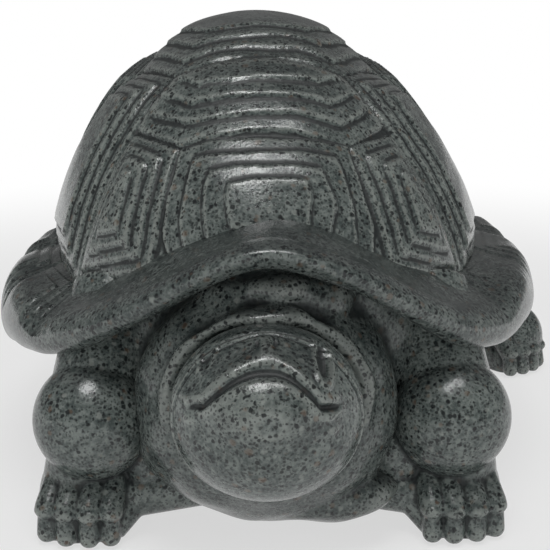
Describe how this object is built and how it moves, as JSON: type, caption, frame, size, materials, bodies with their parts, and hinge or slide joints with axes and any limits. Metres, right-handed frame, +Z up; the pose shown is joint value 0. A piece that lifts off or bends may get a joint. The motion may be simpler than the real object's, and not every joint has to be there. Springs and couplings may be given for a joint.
{
  "type": "turtle figurine",
  "caption": "Walking turtle figurine with a high stepped-scute shell and flared rim, hollow cast stone-look pieces, felt-footed, with a stoppered filling port in the belly.",
  "frame": {"origin": "on the shelf under the middle of the shell, at the centre of the belly felt's underside", "axes": "+X to the turtle's left, +Y towards its tail, +Z up; the head looks along -Y"},
  "size_m": [0.1372, 0.1817, 0.094],
  "materials": {
    "speckled_stone": "polished, grey with dark and pale specks",
    "felt": "pressed wool felt",
    "stopper_rubber": "matt moulded"
  },
  "bodies": {
    "figure": {"carapace": "speckled_stone", "body": "speckled_stone", "head": "speckled_stone", "front_left_leg": "speckled_stone", "front_right_leg": "speckled_stone", "rear_left_leg": "speckled_stone", "rear_right_leg": "speckled_stone", "tail": "speckled_stone", "belly_felt": "felt", "front_left_felt": "felt", "front_right_felt": "felt", "rear_left_felt": "felt", "rear_right_felt": "felt"},
    "stopper": {"belly_stopper": "stopper_rubber"}
  },
  "joints": [
    {"name": "stopper_pull", "type": "slide", "parent": "figure", "child": "stopper", "axis": [0, 0, -1], "range_m": [0, 0.012]}
  ]
}
